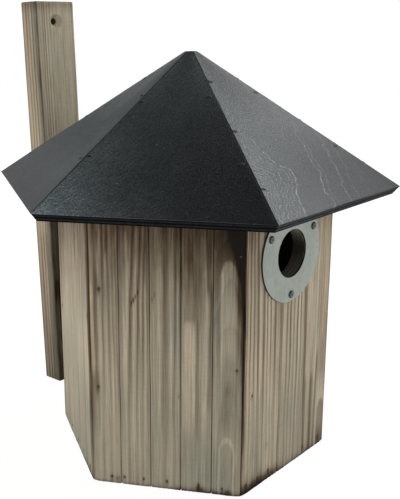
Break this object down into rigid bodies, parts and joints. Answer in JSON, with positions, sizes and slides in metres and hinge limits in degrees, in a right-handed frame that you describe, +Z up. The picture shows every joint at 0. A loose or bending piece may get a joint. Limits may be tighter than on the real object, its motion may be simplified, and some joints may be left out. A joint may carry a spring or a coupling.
{
  "type": "nest box",
  "caption": "Hexagonal timber nest box with a pointed black plywood roof, a round steel plate at its entrance hole and a hanging batten behind.",
  "frame": {"origin": "centre of the hexagonal base, on the surface that the box stands on", "axes": "+Z up, -Y out of the entrance, +Y towards the hanging batten behind the box"},
  "size_m": [0.294, 0.29, 0.3248],
  "materials": {
    "weathered_pine": "brushed and singed, unpainted, grey-brown",
    "floor_pine": "sawn, unpainted",
    "black_plywood": "matt black stain over rotary-cut veneer",
    "zinc_plate": "matt galvanised",
    "plate_screws": "dull zinc",
    "spacer_pine": "sawn, unpainted",
    "batten_pine": "planed, green-grey on its face, browner on its edges"
  },
  "bodies": {
    "root": {"front_right_stave_1": "weathered_pine", "front_right_stave_2": "weathered_pine", "front_right_stave_3": "weathered_pine", "front_right_stave_4": "weathered_pine", "front_right_stave_5": "weathered_pine", "back_right_stave_1": "weathered_pine", "back_right_stave_2": "weathered_pine", "back_right_stave_3": "weathered_pine", "back_right_stave_4": "weathered_pine", "back_right_stave_5": "weathered_pine", "back_stave_1": "weathered_pine", "back_stave_2": "weathered_pine", "back_stave_3": "weathered_pine", "back_stave_4": "weathered_pine", "back_stave_5": "weathered_pine", "back_left_stave_1": "weathered_pine", "back_left_stave_2": "weathered_pine", "back_left_stave_3": "weathered_pine", "back_left_stave_4": "weathered_pine", "back_left_stave_5": "weathered_pine", "front_left_stave_1": "weathered_pine", "front_left_stave_2": "weathered_pine", "front_left_stave_3": "weathered_pine", "front_left_stave_4": "weathered_pine", "front_left_stave_5": "weathered_pine", "front_board_left": "weathered_pine", "front_board_right": "weathered_pine", "floor": "floor_pine", "front_roof_plate": "black_plywood", "front_right_roof_plate": "black_plywood", "back_right_roof_plate": "black_plywood", "back_roof_plate": "black_plywood", "back_left_roof_plate": "black_plywood", "front_left_roof_plate": "black_plywood", "entrance_plate": "zinc_plate", "plate_screw_1": "plate_screws", "plate_screw_2": "plate_screws", "plate_screw_3": "plate_screws", "lower_spacer": "spacer_pine", "upper_spacer": "spacer_pine", "hanging_batten": "batten_pine"}
  },
  "joints": []
}
